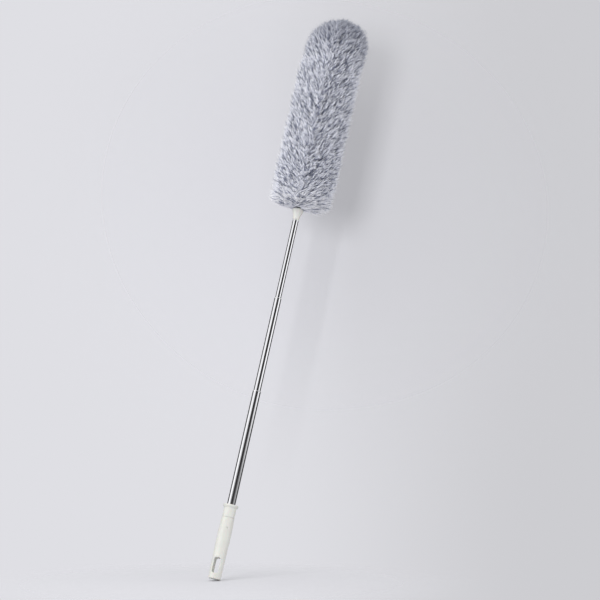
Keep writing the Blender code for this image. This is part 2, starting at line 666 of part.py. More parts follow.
cream_plastic = new_material("cream_polypropylene", (0.80, 0.80, 0.76), 0.42)
stainless = new_material("polished_stainless_steel", (0.62, 0.62, 0.63), 0.12, 1.0)
rivet_steel = new_material("plated_rivet_steel", (0.35, 0.35, 0.36), 0.35, 1.0)
spring_steel = new_material("galvanised_strip_steel", (0.45, 0.46, 0.48), 0.45, 1.0)
grey_nylon = new_material("grey_nylon", (0.30, 0.31, 0.33), 0.5)
white_acetal = new_material("white_acetal", (0.78, 0.78, 0.76), 0.4)
grey_foam = new_material("grey_foam", (0.42, 0.43, 0.46), 0.95)
microfibre = new_material("blue_grey_microfibre", (0.46, 0.49, 0.60), 0.95)
white_elastic = new_material("white_elastic", (0.75, 0.75, 0.76), 0.9)

handle_frame = new_frame("handle_frame", 0.0)
middle_frame = new_frame("middle_frame", middle_foot, handle_frame)
upper_frame = new_frame("upper_frame", upper_foot, middle_frame)
stem_frame = new_frame("stem_frame", stem_bottom, upper_frame)
head_frame = new_frame("head_frame", bend_height, stem_frame)

grip = make_grip(handle_frame)
make_ferrule(handle_frame)
lower_tube = make_tube(
    "lower_tube", LOWER_TUBE_RADIUS, lower_foot, lower_mouth, MIDDLE_TUBE_RADIUS, handle_frame
)
make_rivet(grip, lower_tube, handle_frame)
make_plug(handle_frame)
make_tube("middle_tube", MIDDLE_TUBE_RADIUS, middle_foot, middle_mouth, UPPER_TUBE_RADIUS, middle_frame)
make_bush("middle_bush", middle_bore, lower_bore, middle_foot, middle_frame)
make_ring("middle_ring", lower_bore, middle_foot, middle_frame)
make_tube("upper_tube", UPPER_TUBE_RADIUS, upper_foot, upper_mouth, None, upper_frame)
make_bush("upper_bush", upper_bore, middle_bore, upper_foot, upper_frame)
make_ring("upper_ring", middle_bore, upper_foot, upper_frame)
make_socket(upper_frame)
make_stem(stem_frame)
make_core(head_frame)
make_pile(head_frame)

print("bend height", round(bend_height, 6), "stem bottom", round(stem_bottom, 6), "head top", round(head_top, 6))
print("middle tube travel", round(-middle_travel_down, 6), round(middle_travel_up, 6))
print("upper tube travel", round(-upper_travel_down, 6), round(upper_travel_up, 6))
print("stem travel", round(stem_travel, 6))
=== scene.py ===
# The looks of a ceiling fan duster: its fluffy cover, polished steel tubes, and satin plastic handle and stem.
import math

import bmesh
import bpy
import numpy as np
from mathutils import Matrix, Vector


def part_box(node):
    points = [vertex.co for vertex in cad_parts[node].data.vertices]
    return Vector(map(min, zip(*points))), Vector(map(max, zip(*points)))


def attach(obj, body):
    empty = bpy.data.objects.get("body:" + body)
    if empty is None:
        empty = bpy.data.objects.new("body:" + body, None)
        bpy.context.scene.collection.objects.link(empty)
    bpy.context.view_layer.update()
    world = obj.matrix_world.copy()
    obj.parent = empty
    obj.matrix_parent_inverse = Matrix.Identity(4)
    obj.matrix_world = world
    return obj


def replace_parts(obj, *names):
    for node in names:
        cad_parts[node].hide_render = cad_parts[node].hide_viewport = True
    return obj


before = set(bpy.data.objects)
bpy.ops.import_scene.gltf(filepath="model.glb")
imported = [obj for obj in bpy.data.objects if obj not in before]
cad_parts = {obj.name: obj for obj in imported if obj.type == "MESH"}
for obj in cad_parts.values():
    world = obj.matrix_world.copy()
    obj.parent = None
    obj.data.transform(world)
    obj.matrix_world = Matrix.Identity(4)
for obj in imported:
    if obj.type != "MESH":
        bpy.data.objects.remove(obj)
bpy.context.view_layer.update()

random = np.random.default_rng(11)


# Camera

# The photograph's view, in metres and degrees as the camera sees them: where the butt stands, how the pole leans
# away, and how far the camera stands to the right of the slot's front mouth.
photoView = {
    "lens": 72.0,
    "sensorWidth": 36.0,
    "clipEnd": 50.0,
    "buttRight": -0.1580,
    "buttUp": -0.5140,
    "buttAway": 2.2100,
    "poleRight": 0.2035,
    "poleUp": 0.9229,
    "poleAway": 0.3291,
    "turn": 12.5,
}


def makeCamera(view):
    # The part's axes as the camera sees them: Z runs up the pole, and X and Y are turned about it. The camera's own
    # place in the part's frame is the inverse of that.
    butt = Vector((view["buttRight"], view["buttUp"], -view["buttAway"]))
    up = Vector((view["poleRight"], view["poleUp"], -view["poleAway"])).normalized()
    near = (butt.project(up) - butt).normalized()
    side = up.cross(near)
    turn = math.radians(view["turn"])
    xAxis = near * math.sin(turn) + side * math.cos(turn)
    yAxis = side * math.sin(turn) - near * math.cos(turn)
    seen = Matrix((xAxis, yAxis, up)).transposed().to_4x4()
    seen.translation = butt
    lens = bpy.data.cameras.new("camera")
    lens.lens = view["lens"]
    lens.sensor_width = view["sensorWidth"]
    lens.clip_end = view["clipEnd"]
    camera = bpy.data.objects.new("camera", lens)
    camera.matrix_world = seen.inverted()
    bpy.context.scene.collection.objects.link(camera)
    bpy.context.scene.camera = camera
    return seen.inverted()


cameraPlace = makeCamera(photoView)
photoRight = np.array(cameraPlace.col[0][:3])
photoUp = Vector(cameraPlace.col[1][:3])
frontTurn = math.atan2(cameraPlace.translation.y, cameraPlace.translation.x)
print("camera placed")


# Materials

def linear(hexColor):
    # An sRGB hex colour as linear red, green, blue and an alpha of 1.
    values = [int(hexColor[i:i + 2], 16) / 255 for i in (1, 3, 5)]
    return [v / 12.92 if v <= 0.04045 else ((v + 0.055) / 1.055) ** 2.4 for v in values] + [1.0]


def addNode(tree, kind, inputs=None, stops=None, **settings):
    # A node with its settings. Inputs are values or the sockets that feed them, and stops fill a colour ramp.
    node = tree.nodes.new(kind)
    for name, value in settings.items():
        setattr(node, name, value)
    for key, value in (inputs or {}).items():
        if isinstance(value, bpy.types.NodeSocket):
            tree.links.new(value, node.inputs[key])
        else:
            node.inputs[key].default_value = value
    if stops:
        while len(node.color_ramp.elements) < len(stops):
            node.color_ramp.elements.new(1.0)
        for element, (place, color) in zip(node.color_ramp.elements, stops):
            element.position = place
            element.color = linear(color) if isinstance(color, str) else color
    return node


def seenStraight(tree):
    # 1 for what the camera sees by itself, in a mirror or through glass, and 0 for light that falls on a surface.
    rays = addNode(tree, "ShaderNodeLightPath").outputs
    seen = rays["Is Camera Ray"]
    for other in ("Is Glossy Ray", "Is Transmission Ray"):
        seen = addNode(tree, "ShaderNodeMath", {0: seen, 1: rays[other]}, operation="MAXIMUM").outputs[0]
    return seen


def newMaterial(name, inputs):
    # A Principled material. Uniform values are set on the shader's own sockets.
    material = bpy.data.materials.new(name)
    material.use_nodes = True
    tree = material.node_tree
    shader = tree.nodes["Principled BSDF"]
    for key, value in inputs.items():
        shader.inputs[key].default_value = value
    return material, tree, shader


def objectPlace(tree):
    # The point's place on the object in metres.
    return addNode(tree, "ShaderNodeTexCoord").outputs["Object"]


noiseSet = {"detail": 3.0, "from": 0.3, "to": 0.7}  # most of the noise lies between these two levels


def mottle(tree, place, size, low, high):
    # Noise with features of a real size in metres, spread between two values.
    grain = {"Vector": place, "Scale": 1.0 / size, "Detail": noiseSet["detail"]}
    noise = addNode(tree, "ShaderNodeTexNoise", grain).outputs["Fac"]
    spread = {"From Min": noiseSet["from"], "From Max": noiseSet["to"], "To Min": low, "To Max": high}
    return addNode(tree, "ShaderNodeMapRange", {"Value": noise, **spread}).outputs["Result"]


def colorBetween(tree, share, low, high):
    # A colour that moves from one to another with a share.
    stops = [(0.0, low), (1.0, high)]
    return addNode(tree, "ShaderNodeValToRGB", {"Fac": share}, stops=stops).outputs["Color"]


def addBump(tree, shader, height, depth, strength):
    # Bump of a real depth in metres on the shader.
    bump = addNode(tree, "ShaderNodeBump", {"Height": height, "Distance": depth, "Strength": strength})
    tree.links.new(bump.outputs["Normal"], shader.inputs["Normal"])


satin = {
    "shader": {"IOR": 1.49, "Subsurface Weight": 0.06, "Subsurface Scale": 0.002},
    "tones": ("#d9d9d3", "#d3d3cd"),
    "roughness": (0.36, 0.46),
    "cloudSize": 0.018,
    "hazeSize": 0.0045,
    "grainSize": 0.0006,
    "grainDepth": 0.00002,
    "grainStrength": 0.6,
}


def satinPolypropylene(name, settings):
    # Injection moulded polypropylene from a spark-eroded mould: milky, with a soft sheen broken by a fine grain.
    material, tree, shader = newMaterial(name, settings["shader"])
    place = objectPlace(tree)
    cloud = mottle(tree, place, settings["cloudSize"], 0.0, 1.0)
    tree.links.new(colorBetween(tree, cloud, *settings["tones"]), shader.inputs["Base Color"])
    haze = mottle(tree, place, settings["hazeSize"], *settings["roughness"])
    tree.links.new(haze, shader.inputs["Roughness"])
    grain = mottle(tree, place, settings["grainSize"], 0.0, 1.0)
    addBump(tree, shader, grain, settings["grainDepth"], settings["grainStrength"])
    return material


steel = {
    "tone": "#cfcfd2",
    "roughness": (0.05, 0.11),
    "smearSize": 0.003,
    "lineSize": 0.00025,
    "lineStretch": 60.0,
    "lineDepth": 0.0000015,
    "lineStrength": 0.5,
    "lipHighlightTone": "#f4f4f5",
    "lipHeight": 0.0017,
    "lipEdge": 0.000425,
    "lipHaze": 0.42,
}


def polishedStainless(name, settings, mouth):
    # Drawn stainless tube polished along its length: a near mirror with faint long lines. Its rolled lip is brushed
    # and hazier, and painted lighter as a painted highlight where the rim catches light, so that it shows as a thin
    # light
    # ring: both by a share that rises from none to all at the ring's lower edge.
    material, tree, shader = newMaterial(name, {"Metallic": 1.0})
    place = objectPlace(tree)
    height = addNode(tree, "ShaderNodeSeparateXYZ", {"Vector": place}).outputs["Z"]
    start = mouth - settings["lipHeight"]
    rise = {"Value": height, "From Min": start, "From Max": start + settings["lipEdge"]}
    lip = addNode(tree, "ShaderNodeMapRange", rise).outputs["Result"]
    # The lip's painted highlight: its colour turns lighter by the same share.
    tree.links.new(colorBetween(tree, lip, settings["tone"], settings["lipHighlightTone"]), shader.inputs["Base Color"])
    stretch = (1.0, 1.0, 1.0 / settings["lineStretch"])
    drawn = addNode(tree, "ShaderNodeMapping", {"Vector": place, "Scale": stretch}).outputs["Vector"]
    smear = mottle(tree, drawn, settings["smearSize"], *settings["roughness"])
    haze = addNode(tree, "ShaderNodeMath", {0: lip, 1: settings["lipHaze"], 2: smear}, operation="MULTIPLY_ADD")
    tree.links.new(haze.outputs[0], shader.inputs["Roughness"])
    lines = mottle(tree, drawn, settings["lineSize"], 0.0, 1.0)
    addBump(tree, shader, lines, settings["lineDepth"], settings["lineStrength"])
    return material


platings = {
    "zinc_plated_pin": {"tones": ("#8f9092", "#a9aaab"), "roughness": (0.3, 0.45), "crystal": 0.0008},
    "galvanised_spring_strip": {"tones": ("#9a9da0", "#b7babd"), "roughness": (0.4, 0.55), "crystal": 0.0020},
}


def platedSteel(name):
    # Cold-formed steel with a thin zinc plating: grey, half dull, with a mottle of crystals.
    plating = platings[name]
    material, tree, shader = newMaterial(name, {"Metallic": 1.0})
    place = objectPlace(tree)
    cells = addNode(tree, "ShaderNodeTexVoronoi", {"Vector": place, "Scale": 1.0 / plating["crystal"]})
    tree.links.new(colorBetween(tree, cells.outputs["Distance"], *plating["tones"]), shader.inputs["Base Color"])
    tree.links.new(mottle(tree, place, plating["crystal"] * 2, *plating["roughness"]), shader.inputs["Roughness"])
    return material


plastics = {
    "moulded_grey_nylon": {"tones": ("#8e9196", "#9b9ea3"), "roughness": (0.45, 0.6)},
    "moulded_white_acetal": {"tones": ("#dedede", "#e9e9e7"), "roughness": (0.3, 0.42)},
    "baked_grey_enamel": {"tones": ("#c4c4be", "#cfcfc9"), "roughness": (0.35, 0.5)},
}
plasticSet = {"ior": 1.53, "cloudSize": 0.004, "markSize": 0.0015}


def mouldedPlastic(name):
    # Moulded plastic for the parts that run inside the tubes, and baked enamel: matt, with wiped marks.
    finish = plastics[name]
    material, tree, shader = newMaterial(name, {"IOR": plasticSet["ior"]})
    place = objectPlace(tree)
    cloud = mottle(tree, place, plasticSet["cloudSize"], 0.0, 1.0)
    tree.links.new(colorBetween(tree, cloud, *finish["tones"]), shader.inputs["Base Color"])
    tree.links.new(mottle(tree, place, plasticSet["markSize"], *finish["roughness"]), shader.inputs["Roughness"])
    return material


furColors = {
    "shader": {"Roughness": 0.85, "Sheen Weight": 0.1, "Sheen Roughness": 0.4},
    # Each ramp runs from root to tip; the dark root is partly dye and partly painted shade between the locks.
    "darkLock": [(0.0, "#34384a"), (0.60, "#4a4f60"), (0.85, "#6b7082"), (1.0, "#9a9fb1")],
    "paleLock": [(0.0, "#464c64"), (0.82, "#727993"), (0.90, "#f2f4ff"), (1.0, "#fcfcff")],
}


def furMaterial(name, settings):
    # Spun microfibre, dyed blue-grey at its root and left white at its tip; the root's colour is darker than the dye
    # alone, a painted shade deep between the locks. The strands' map holds each lock's tone across, from dark to pale,
    # and the way from root to tip along.
    material, tree, shader = newMaterial(name, settings["shader"])
    spot = addNode(tree, "ShaderNodeUVMap", uv_map="strand").outputs["UV"]
    parts = addNode(tree, "ShaderNodeSeparateXYZ", {"Vector": spot})
    dark = addNode(tree, "ShaderNodeValToRGB", {"Fac": parts.outputs["Y"]}, stops=settings["darkLock"])
    pale = addNode(tree, "ShaderNodeValToRGB", {"Fac": parts.outputs["Y"]}, stops=settings["paleLock"])
    ends = {0: parts.outputs["X"], 6: dark.outputs["Color"], 7: pale.outputs["Color"]}
    mixed = addNode(tree, "ShaderNodeMix", ends, data_type="RGBA")
    tree.links.new(mixed.outputs[2], shader.inputs["Base Color"])
    return material


yarns = {
    "warp_knitted_backing": {"tones": ("#596074", "#7d8499"), "stitch": 0.0009, "loopDepth": 0.00015},
    "covered_elastic": {"tones": ("#cfd0d2", "#e6e6e6"), "stitch": 0.0004, "loopDepth": 0.000067},
}
yarnShader = {"Roughness": 0.9, "Sheen Weight": 0.1}
yarnWave = {"Distortion": 2.0, "Detail Scale": 3.0}
waveRate = 20.0  # Blender's wave turns by this many radians for each unit of its scaled place


def knitMaterial(name):
    # Warp-knitted yarn: rows of small loops, one to a stitch, a little uneven, with the bump of each row; the colour
    # is darker where the bump is low, a painted shade between the rows.
    yarn = yarns[name]
    material, tree, shader = newMaterial(name, yarnShader)
    waves = {"Vector": objectPlace(tree), "Scale": math.tau / yarn["stitch"] / waveRate, **yarnWave}
    rows = addNode(tree, "ShaderNodeTexWave", waves, bands_direction="Z").outputs["Fac"]
    # Painted shade: the rows' colour follows their bump, darker in the hollows.
    tree.links.new(colorBetween(tree, rows, *yarn["tones"]), shader.inputs["Base Color"])
    addBump(tree, shader, rows, yarn["loopDepth"], 1.0)
    return material


foamSkin = {"tones": ("#8d9095", "#b4b6ba"), "roughness": 0.95, "cell": 0.0008, "pitDepth": 0.00027}


def foamMaterial(name, settings):
    # Open-cell polyurethane foam: a matt grey skin of small pits, coloured darker towards each pit's middle as painted
    # shade.
    material, tree, shader = newMaterial(name, {"Roughness": settings["roughness"]})
    pits = {"Vector": objectPlace(tree), "Scale": 1.0 / settings["cell"]}
    depth = addNode(tree, "ShaderNodeTexVoronoi", pits).outputs["Distance"]
    # Painted shade: the same depth that sinks the pits also darkens them.
    tree.links.new(colorBetween(tree, depth, *settings["tones"]), shader.inputs["Base Color"])
    addBump(tree, shader, depth, settings["pitDepth"], 1.0)
    return material


cream = satinPolypropylene("satin_moulded_polypropylene", satin)
cadFinishes = {
    cream: ["handle_grip", "handle_ferrule", "thread_socket", "head_stem", "strip_tip_cap"],
    platedSteel("zinc_plated_pin"): ["stem_pin"],
    platedSteel("galvanised_spring_strip"): ["strip_root", "core_strip"],
    mouldedPlastic("moulded_grey_nylon"): ["lower_tube_plug", "middle_bush", "upper_bush"],
    mouldedPlastic("moulded_white_acetal"): ["middle_ring", "upper_ring"],
    mouldedPlastic("baked_grey_enamel"): ["handle_rivet"],
}
for tube in ("lower_tube", "middle_tube", "upper_tube"):
    cadFinishes[polishedStainless("polished_stainless_" + tube, steel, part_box(tube)[1].z)] = [tube]
for material, nodes in cadFinishes.items():
    for node in nodes:
        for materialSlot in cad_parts[node].material_slots:
            materialSlot.material = material
print("rigid pieces finished")


# The head's outlines in half section: points of radius and height

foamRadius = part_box("foam_sleeve")[1].x
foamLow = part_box("foam_sleeve")[0].z
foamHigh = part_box("foam_sleeve")[1].z
hemLow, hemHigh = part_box("hem_elastic")
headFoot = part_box("pile")[0].z
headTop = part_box("pile")[1].z

headSizes = {
    "knitWall": 0.0018,
    "neckRadius": 0.0054,
    "neckMargin": 0.0015,
    "pileHeight": 0.0555,
    "lowRadius": 0.0668,
    "highRadius": 0.0672,
    "lowCorner": 0.0140,
    "crownFlat": 0.0120,
    "reach": 0.0790,
    "underRadius": 0.0300,
    "crownDrop": 0.0020,
    "footDrop": 0.0010,
}
neckRadius = headSizes["neckRadius"]
knitRadius = foamRadius + headSizes["knitWall"]
knitTop = headTop - headSizes["pileHeight"]
neckFoot = hemLow.z - headSizes["neckMargin"]
neckTop = hemHigh.z + headSizes["neckMargin"]
fluffFoot = headFoot - headSizes["footDrop"]
fluffTop = headTop - headSizes["crownDrop"]

# Shares of the tips' outline and of the roots' line that belong together. Between them the pile leans up and out.
tipShares = (0.0, 0.112, 0.30, 0.80, 0.90, 1.0)
rootShares = (0.0, 0.02, 0.178, 0.838, 0.93, 1.0)

# How far the fluff leans to the photograph's right at each height over its foot, since its strip is a little bent.
leanHeights = (0.0, 0.04, 0.15, 0.34, 0.40, 0.449)
leanRight = (0.0015, 0.0015, 0.0010, 0.0010, 0.0050, 0.0130)

# The fluff's foot is pushed up at its back, where it was brushed upward, the more the farther from the pole.
backLift = {"slope": 0.60, "side": 0.2, "fadeFrom": 0.025, "fadeTo": 0.110}

lineSteps = {"arc": 24, "crown": 48, "area": 2000}  # points on a quarter circle, the crown, and a measured line


def quarter(centreRadius, centreHeight, radius, start, steps=lineSteps["arc"]):
    # A quarter circle from an angle upward: centre plus radius times the angle's cosine and sine.
    angle = np.linspace(start, start + math.pi / 2, steps)
    return np.stack([centreRadius + radius * np.cos(angle), centreHeight + radius * np.sin(angle)], 1)


def tipLine():
    # The fluffy outline: flat underside, round corner, side, and a round crown.
    corner, high = headSizes["lowCorner"], headSizes["highRadius"]
    under = np.array([[headSizes["underRadius"], fluffFoot]])
    low = quarter(headSizes["lowRadius"] - corner, fluffFoot + corner, corner, -math.pi / 2)
    flat = headSizes["crownFlat"]
    crown = quarter(flat, fluffTop - high + flat, high - flat, 0.0, lineSteps["crown"])
    return np.concatenate([under, low, crown, [[0.0, fluffTop]]])


def rootLine():
    # The knit, from the top of its neck out along the gathered cone and up to its round crown.
    cone = np.array([[neckRadius, neckTop], [knitRadius, foamLow]])
    return np.concatenate([cone, quarter(0.0, knitTop - knitRadius, knitRadius, 0.0)])


def alongLine(line):
    # Each point's share of the line's length.
    share = np.concatenate([[0.0], np.cumsum(np.hypot(*np.diff(line, axis=0).T))])
    return share / share[-1]


def evenShares(line, count):
    # Shares of the line's length at which equal areas of the turned surface lie between neighbours.
    fine = np.linspace(0.0, 1.0, lineSteps["area"])
    radius = np.interp(fine, alongLine(line), line[:, 0])
    area = np.concatenate([[0.0], np.cumsum((radius[1:] + radius[:-1]) / 2)])
    return np.interp((np.arange(count) + 0.5) / count, area / area[-1], fine)


def pointsOn(line, shares):
    # Radius and height at the given shares of a line.
    known = alongLine(line)
    return np.interp(shares, known, line[:, 0]), np.interp(shares, known, line[:, 1])


rippleSet = {"waves": 14, "shortest": 0.7, "longest": 1.6}


def ripple(turn, height, size, seed):
    # A smooth random field on the head's surface: a sum of sine waves of about one size in metres, divided by the
    # root of half their number, so that its spread is about 1.
    waves = np.random.default_rng(seed)
    total = 0.0
    for _ in range(rippleSet["waves"]):
        length = size * waves.uniform(rippleSet["shortest"], rippleSet["longest"])
        slant = waves.uniform(0.0, math.tau)
        whole = round(math.cos(slant) * math.tau * headSizes["lowRadius"] / length)
        rise = math.sin(slant) * math.tau / length
        total = total + np.sin(whole * turn + rise * height + waves.uniform(0.0, math.tau))
    return total / math.sqrt(rippleSet["waves"] / 2)


def around(radius, turn, height):
    # Points at a radius, turn and height as x, y and z.
    return np.stack([radius * np.cos(turn), radius * np.sin(turn), height], -1)


def unit(vectors):
    # Each vector divided by its own length.
    return vectors / np.maximum(np.linalg.norm(vectors, axis=-1, keepdims=True), 1e-12)


def sideways(directions, spread):
    # Random offsets square to each direction.
    offsets = random.normal(0.0, spread, directions.shape)
    return offsets - directions * (offsets * directions).sum(-1, keepdims=True)


def settled(points, turn):
    # Tips moved by the fluff's lean to the right, and up at the foot's back: slope times the distance behind the
    # pole, times a share that fades with height.
    over = points[:, 2] - fluffFoot
    moved = points + np.interp(over, leanHeights, leanRight)[:, None] * photoRight
    back = np.maximum(backLift["side"] - (1.0 - backLift["side"]) * np.cos(turn - frontTurn), 0.0)
    back *= np.hypot(points[:, 0], points[:, 1])
    fade = np.clip((backLift["fadeTo"] - over) / (backLift["fadeTo"] - backLift["fadeFrom"]), 0.0, 1.0)
    moved[:, 2] += backLift["slope"] * back * fade
    return moved


partingPlace = {"turn": -9.0, "reach": 60.0}


def parted(turn, size):
    # How far the fluff is swept sideways from a parting down its front: most beside the parting, and none at its
    # reach in degrees to either side.
    away = (turn - frontTurn - math.radians(partingPlace["turn"]) + math.pi) % math.tau - math.pi
    sweep = size * np.sign(away) * np.clip(1.0 - np.abs(away) / math.radians(partingPlace["reach"]), 0.0, 1.0)
    return sweep[:, None] * around(np.ones_like(turn), turn + math.pi / 2, np.zeros_like(turn))


# Pieces of the head

def finishedPiece(name, mesh, material):
    # A new object that rides on the head.
    mesh.materials.append(material)
    piece = bpy.data.objects.new(name, mesh)
    bpy.context.scene.collection.objects.link(piece)
    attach(piece, "head")
    return piece


mapWidth = 0.001  # of a strand on its map, so that no face there is a line


def strandMesh(name, lines, radii, tones, starts, places):
    # Each strand is a three-sided tube along its centre line, closed at its root and drawn to a point at its tip. A
    # ring's corner is its centre plus the ring's radius times a unit vector at 0, 120 or 240 degrees round the line.
    count, rings = lines.shape[:2]
    forward = unit(np.gradient(lines, axis=1))
    upward = np.broadcast_to((0.0, 0.0, 1.0), forward.shape)
    across = unit(np.cross(forward, upward))
    other = np.cross(forward, across)
    angle = np.arange(3) * math.tau / 3 + random.uniform(0.0, math.tau, (count, 1, 1))
    body = slice(0, rings - 1)
    wheel = np.cos(angle)[..., None] * across[:, body, None] + np.sin(angle)[..., None] * other[:, body, None]
    corners = lines[:, body, None] + radii[:, :, None, None] * wheel
    points = np.concatenate([corners.reshape(count, -1, 3), lines[:, -1:]], 1)
    perStrand = points.shape[1]

    faces = [(2, 1, 0)]
    for side in range(3):
        after = (side + 1) % 3
        for low in range(0, 3 * (rings - 2), 3):
            faces += [(low + side, low + after, low + 3 + after), (low + side, low + 3 + after, low + 3 + side)]
        faces.append((perStrand - 4 + side, perStrand - 4 + after, perStrand - 1))
    index = (np.array(faces)[None] + np.arange(count)[:, None, None] * perStrand).reshape(-1)

    mesh = bpy.data.meshes.new(name)
    mesh.vertices.add(count * perStrand)
    mesh.vertices.foreach_set("co", points.astype(np.float32).ravel())
    mesh.loops.add(len(index))
    mesh.loops.foreach_set("vertex_index", index.astype(np.int32))
    mesh.polygons.add(len(index) // 3)
    mesh.polygons.foreach_set("loop_start", np.arange(0, len(index), 3, dtype=np.int32))
    mesh.polygons.foreach_set("use_smooth", np.ones(len(index) // 3, bool))
    mesh.update(calc_edges=True)

    # The map: tone across, and the way from root to tip along. The material reads the first copy of it, and a bake
    # of the colours uses the second.
    way = np.append(np.repeat(places[:-1], 3), 1.0)
    width = np.append(np.tile([-mapWidth, 0.0, mapWidth], rings - 1), 0.0)
    spots = np.stack([tones[:, None] + width, starts[:, None] + (1.0 - starts[:, None]) * way], -1)
    spots = spots.reshape(-1, 2)[index].astype(np.float32).ravel()
    for title in ("strand", "OFBake"):
        mesh.uv_layers.new(name=title).uv.foreach_set("vector", spots)
    mesh.validate()
    return mesh


# A lock is a bundle of strands that part at the root and meet near the tip. The fine fibres are locks of one strand
# that stand a little past the others and soften the outline. They are paler than the locks: white tips, and partly a
# painted rim light that brightens the outline as if lit from behind.
furSets = {
    "pile_locks": {
        "locks": 18000,
        "strands": 3,
        "pieces": 7,
        "places": (0.0, 0.45, 0.72, 0.92, 1.0),
        "radii": (0.00035, 0.00061, 0.00066, 0.00056),
        "rootSpread": 0.0010,
        "bellySpread": 0.0007,
        "tipSpread": 0.0005,
        "lengths": (0.90, 1.04),
        "depths": (-0.0100, 0.0006),
        "beyond": 0.0022,
        "hollows": 0.0006,
        "swirl": 0.0010,
        "tousle": 0.0034,
        "bow": 0.0050,
        "parting": 0.0120,
        "bulge": -0.05,
        "tones": (0.0, 1.0),
        "toneSpread": 0.08,
        "paleShare": 0.80,
        "start": 0.0,
    },
    "pile_fibres": {
        "locks": 12000,
        "strands": 1,
        "pieces": 3,
        "places": (0.0, 0.45, 0.80, 1.0),
        "radii": (0.00014, 0.00021, 0.00018),
        "rootSpread": 0.0010,
        "bellySpread": 0.0015,
        "tipSpread": 0.0030,
        "lengths": (0.93, 1.07),
        "depths": (-0.0010, 0.0010),
        "beyond": 0.0030,
        "hollows": 0.0,
        "swirl": 0.0,
        "tousle": 0.0030,
        "bow": 0.0040,
        "parting": 0.0120,
        "bulge": -0.02,
        "tones": (0.55, 0.95),
        "toneSpread": 0.04,
        "paleShare": 0.85,
        "start": 0.1,
    },
}

# The fluff as a whole: hollows and blotches between groups of locks, the crown's painted shade that lowers
# the locks' tone towards the top, how much one strand is thicker than another, and the least radius at which a
# sideways shift counts as a turn.
fluff = {
    "hollowSize": 0.018,
    "hollowLimit": 1.5,
    "blotchSize": 0.030,
    "blotchShare": 0.06,
    "crownFrom": 0.110,
    "crownPaintedShade": 0.80,
    "toneLimits": (0.01, 0.99),
    "thickness": (0.8, 1.2),
    "rootClear": 0.004,
    "tipClear": 0.012,
    "seeds": {"across": 3, "along": 5, "hollow": 8, "blotch": 9},
}

# The strands round the foot hang in a fan from the neck. The share of their effect runs from none to full between two
# shares of the outline. They start paler, and palest at the fringe, as a painted light that lifts the shade under the
# fluff's foot; they spread out low and then turn up, with less bow.
lowStrands = {
    "shareNone": 0.20,
    "shareFull": 0.06,
    "start": 0.46,
    "fringe": 0.40,
    "fringePower": 6,
    "spread": 1.6,
    "rise": 0.2,
    "droop": 0.85,
    "calm": 0.75,
}


goldenTurn = math.pi * (3 - math.sqrt(5))


